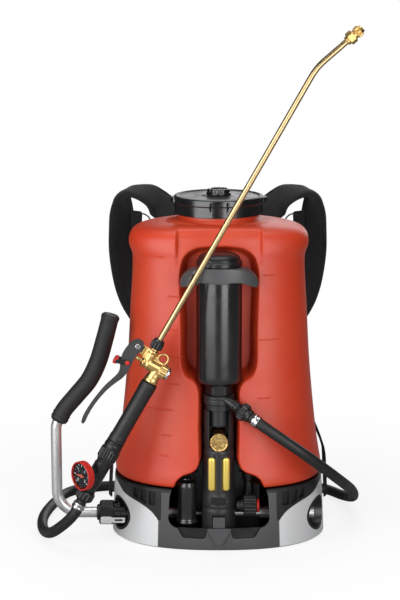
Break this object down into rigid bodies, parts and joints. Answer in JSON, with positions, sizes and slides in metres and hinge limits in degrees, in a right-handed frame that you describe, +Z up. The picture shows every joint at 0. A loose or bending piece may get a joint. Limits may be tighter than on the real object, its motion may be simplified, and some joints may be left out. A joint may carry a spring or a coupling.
{
  "type": "backpack sprayer",
  "caption": "Backpack sprayer: red tank on a black base, lever piston pump with pressure chamber, hose, brass spray gun with gauge and long bent lance, padded straps.",
  "frame": {"origin": "centre of the base's footprint, on the ground", "axes": "+Z up, -Y towards the pump and spray gun, +Y towards the wearer's back, -X towards the hand lever"},
  "size_m": [0.4657, 0.3335, 0.7163],
  "materials": {
    "red_plastic": "satin",
    "black_plastic": "satin",
    "grey_plastic": "satin",
    "silver_panel": "metallic silver, semi gloss",
    "black_rubber": "matt",
    "black_fabric": "woven, matt",
    "brass": "polished",
    "steel": "brushed",
    "white_plastic": "matt",
    "clear_plastic": "clear"
  },
  "bodies": {
    "chassis": {"base_frame": "black_plastic", "side_panel_left": "silver_panel", "side_panel_right": "silver_panel", "hub_bush_left": "black_plastic", "hub_bush_right": "black_plastic", "tank": "red_plastic", "filler_strainer": "white_plastic", "pump_housing": "black_plastic", "pump_cylinder": "brass", "pump_head": "black_plastic", "valve_plug": "brass", "mount_disc": "black_plastic", "chamber_neck": "black_plastic", "pressure_chamber": "black_plastic", "chamber_cap": "black_plastic", "chamber_saddle": "grey_plastic", "suction_cup": "black_plastic", "suction_elbow": "black_plastic", "outlet_nut": "black_plastic", "outlet_ferrule": "steel", "hose": "black_rubber", "back_pad": "black_fabric", "shoulder_strap_left": "black_fabric", "lower_webbing_left": "black_fabric", "strap_buckle_left": "black_plastic", "shoulder_strap_right": "black_fabric", "lower_webbing_right": "black_fabric", "strap_buckle_right": "black_plastic"},
    "drive": {"drive_shaft": "steel", "crank_arm": "steel", "lever_socket": "black_plastic"},
    "clip": {"lever_clip": "steel"},
    "lever": {"lever_tube": "steel", "lever_grip": "black_rubber"},
    "plunger": {"piston_yoke": "steel", "piston": "white_plastic", "piston_seal": "black_rubber"},
    "lid_seal": {"lid_gasket": "black_rubber"},
    "lid_cover": {"lid": "black_plastic", "lid_vent": "grey_plastic"},
    "foot_screw": {"suction_knob": "black_plastic", "knob_cap": "red_plastic"},
    "gun": {"valve_body": "brass", "chrome_plug": "steel", "trigger_pin": "steel", "grip_tube": "black_rubber", "grip_adapter": "black_plastic", "hose_nut": "black_plastic", "hose_ferrule": "steel", "gauge_body": "black_plastic", "gauge_ring": "red_plastic", "gauge_dial": "black_plastic", "gauge_lens": "clear_plastic"},
    "gun_trigger": {"trigger": "black_plastic"},
    "lock_catch": {"trigger_lock": "red_plastic"},
    "valve": {"valve_stem": "brass"},
    "needle": {"gauge_needle": "red_plastic"},
    "lance": {"lance_nut": "black_plastic", "lance_tube": "brass"},
    "spray_tip": {"nozzle": "brass"}
  },
  "joints": [
    {"name": "lever_pump", "type": "hinge", "parent": "chassis", "child": "drive", "pos_m": [0, -0.05, 0.035], "axis": [1, 0, 0], "range_deg": [-24, 14]},
    {"name": "lever_fold", "type": "hinge", "parent": "drive", "child": "lever", "pos_m": [-0.16, -0.05, 0.035], "axis": [1, 0, 0], "range_deg": [-55, 0]},
    {"name": "clip_slide", "type": "slide", "parent": "drive", "child": "clip", "axis": [-1, 0, 0], "range_m": [0, 0.006]},
    {"name": "piston_stroke", "type": "slide", "parent": "chassis", "child": "plunger", "axis": [0, 0, 1], "range_m": [-0.00767, 0.01315]},
    {"name": "lid_lift", "type": "slide", "parent": "chassis", "child": "lid_seal", "axis": [0, 0, 1], "range_m": [0, 0.09]},
    {"name": "lid_turn", "type": "hinge", "parent": "lid_seal", "child": "lid_cover", "pos_m": [0, 0.01, 0.47], "axis": [0, 0, 1], "range_deg": [0, 360]},
    {"name": "foot_screw_turn", "type": "hinge", "parent": "chassis", "child": "foot_screw", "pos_m": [0.04, -0.092, 0.059], "axis": [1, 0, 0], "range_deg": [0, 180]},
    {"name": "gun_lift", "type": "slide", "parent": "chassis", "child": "gun", "axis": [0, -1, 0], "range_m": [0, 0.12], "deforming": ["hose"]},
    {"name": "trigger_squeeze", "type": "hinge", "parent": "gun", "child": "gun_trigger", "pos_m": [-0.10882, -0.124, 0.29343], "axis": [0, -1, 0], "range_deg": [0, 13]},
    {"name": "trigger_lock_turn", "type": "hinge", "parent": "gun_trigger", "child": "lock_catch", "pos_m": [-0.12289, -0.124, 0.2714], "axis": [0, -1, 0], "range_deg": [0, 35]},
    {"name": "valve_travel", "type": "slide", "parent": "gun", "child": "valve", "axis": [0.8704, 0, -0.4924], "range_m": [0, 0.0036]},
    {"name": "gauge_swing", "type": "hinge", "parent": "gun", "child": "needle", "pos_m": [-0.16401, -0.124, 0.11749], "axis": [0.7517, 0.6595, -0.0005], "range_deg": [0, 250]},
    {"name": "lance_swivel", "type": "hinge", "parent": "gun", "child": "lance", "pos_m": [-0.083, -0.124, 0.29479], "axis": [0.4924, 0, 0.8704], "continuous": true},
    {"name": "nozzle_turn", "type": "hinge", "parent": "lance", "child": "spray_tip", "pos_m": [0.17008, -0.124, 0.70144], "axis": [0.7547, 0, 0.6561], "range_deg": [0, 340]}
  ],
  "couplings": [
    {"joint": "piston_stroke", "follows": "lever_pump", "m_per_rad": -0.0314},
    {"joint": "valve_travel", "follows": "trigger_squeeze", "m_per_rad": 0.0151}
  ]
}
